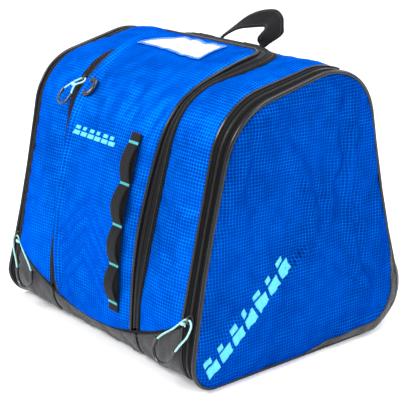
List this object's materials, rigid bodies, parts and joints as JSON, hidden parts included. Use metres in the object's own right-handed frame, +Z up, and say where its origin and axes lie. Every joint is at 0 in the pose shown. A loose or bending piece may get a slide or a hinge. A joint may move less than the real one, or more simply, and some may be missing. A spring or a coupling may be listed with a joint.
{
  "type": "ski boot bag",
  "caption": "Backpack-style ski boot bag with side boot bays under zippered side doors, a front-opening lid, a coated base, haul handle and shoulder straps.",
  "frame": {"origin": "on the floor at the centre of the base footprint", "axes": "+Z up, front (lid side) faces -Y, side doors face +X and -X"},
  "size_m": [0.44, 0.3888, 0.4272],
  "materials": {
    "lid_blue": "coated ripstop nylon, satin sheen",
    "door_blue": "coated ripstop nylon, satin sheen",
    "base_coated": "heavy coated polyester, semi-matte",
    "trim_black": "woven polyester binding, matte",
    "zip_tape": "water-resistant zipper tape, matte",
    "zip_teeth": "nylon coil",
    "piping": "coated piping, glossy",
    "webbing": "polyester webbing",
    "tack_thread": "bartack thread, teal",
    "cord_aqua": "braided cord, pale aqua",
    "grip": "moulded tube",
    "slider": "black enamelled die casting",
    "card": "card stock",
    "film": "clear film",
    "mesh_black": "air mesh over foam",
    "lining": "polyester lining",
    "board": "polyethylene sheet",
    "buckle": "moulded acetal",
    "eyelet": "black eyelet"
  },
  "bodies": {
    "shell": {"base_tub": "base_coated", "base_board": "board", "drain_grommets": "eyelet", "bay_wrap_right": "lid_blue", "bay_wrap_left": "lid_blue", "divider_right": "lining", "divider_left": "lining", "back_panel": "mesh_black", "back_board": "board", "back_pad": "mesh_black", "rear_top_panel": "lid_blue", "lid_gusset": "zip_tape", "lid_zip_teeth_fixed": "zip_teeth", "side_zip_tape_right": "zip_tape", "side_zip_tape_left": "zip_tape", "side_zip_teeth_right": "zip_teeth", "side_zip_teeth_left": "zip_teeth", "handle_tabs": "webbing", "strap_yoke": "mesh_black", "strap_tail_right": "webbing", "strap_tail_left": "webbing", "strap_anchors": "webbing"},
    "lid": {"lid_panel": "lid_blue", "lid_piping": "piping", "lid_zip_tape": "zip_tape", "lid_zip_teeth": "zip_teeth", "id_card": "card", "id_window": "film", "daisy_chain": "webbing", "bartacks": "tack_thread", "lid_ring": "grip"},
    "lid_runner": {"lid_slider": "slider"},
    "lid_pull": {"lid_pull_cord": "cord_aqua", "lid_pull_grip": "grip"},
    "handle": {"haul_handle": "webbing"},
    "door_right": {"door_panel_right": "door_blue", "door_piping_right": "piping", "door_zip_tape_right": "zip_tape", "door_zip_teeth_right": "zip_teeth"},
    "side_runner_right": {"side_slider_right": "slider"},
    "side_pull_right": {"pull_cord_right": "cord_aqua", "pull_grip_right": "grip"},
    "harness_right": {"shoulder_strap_right": "mesh_black", "ladder_lock_right": "buckle", "sternum_web_right": "webbing", "buckle_female": "buckle"},
    "door_left": {"door_panel_left": "door_blue", "door_piping_left": "piping", "door_zip_tape_left": "zip_tape", "door_zip_teeth_left": "zip_teeth"},
    "side_runner_left": {"side_slider_left": "slider"},
    "side_pull_left": {"pull_cord_left": "cord_aqua", "pull_grip_left": "grip"},
    "harness_left": {"shoulder_strap_left": "mesh_black", "ladder_lock_left": "buckle", "sternum_web_left": "webbing", "buckle_male": "buckle"}
  },
  "joints": [
    {"name": "door_right_hinge", "type": "hinge", "parent": "shell", "child": "door_right", "pos_m": [0.213, 0, 0.008], "axis": [0, 1, 0], "range_deg": [0, 85]},
    {"name": "slider_right_travel", "type": "slide", "parent": "shell", "child": "side_runner_right", "axis": [0, 0.2031, 0.9792], "range_m": [-0.02, 0.18]},
    {"name": "pull_right_swing", "type": "hinge", "parent": "side_runner_right", "child": "side_pull_right", "pos_m": [0.2, -0.17395, 0.09628], "axis": [-1, 0, 0], "range_deg": [0, 80]},
    {"name": "strap_right_swing", "type": "hinge", "parent": "shell", "child": "harness_right", "pos_m": [0.078, 0.13273, 0.30074], "axis": [1, 0, 0], "range_deg": [0, 30]},
    {"name": "door_left_hinge", "type": "hinge", "parent": "shell", "child": "door_left", "pos_m": [-0.213, 0, 0.008], "axis": [0, -1, 0], "range_deg": [0, 85]},
    {"name": "slider_left_travel", "type": "slide", "parent": "shell", "child": "side_runner_left", "axis": [0, 0.2031, 0.9792], "range_m": [-0.02, 0.18]},
    {"name": "pull_left_swing", "type": "hinge", "parent": "side_runner_left", "child": "side_pull_left", "pos_m": [-0.2, -0.17395, 0.09628], "axis": [-1, 0, 0], "range_deg": [0, 80]},
    {"name": "strap_left_swing", "type": "hinge", "parent": "shell", "child": "harness_left", "pos_m": [-0.078, 0.13273, 0.30074], "axis": [1, 0, 0], "range_deg": [0, 30]},
    {"name": "lid_hinge", "type": "hinge", "parent": "shell", "child": "lid", "pos_m": [0, -0.1788, 0.0426], "axis": [1, 0, 0], "range_deg": [0, 95]},
    {"name": "lid_slider_travel", "type": "hinge", "parent": "lid", "child": "lid_runner", "pos_m": [-0.09996, 0.01662, 0.22233], "axis": [1, 0, 0], "range_deg": [0, 15]},
    {"name": "lid_pull_swing", "type": "hinge", "parent": "lid_runner", "child": "lid_pull", "pos_m": [-0.09996, -0.11407, 0.33718], "axis": [-1, 0, 0], "range_deg": [0, 66]},
    {"name": "handle_swing", "type": "hinge", "parent": "shell", "child": "handle", "pos_m": [0, 0.079, 0.3835], "axis": [1, 0, 0], "range_deg": [-30, 72]}
  ]
}
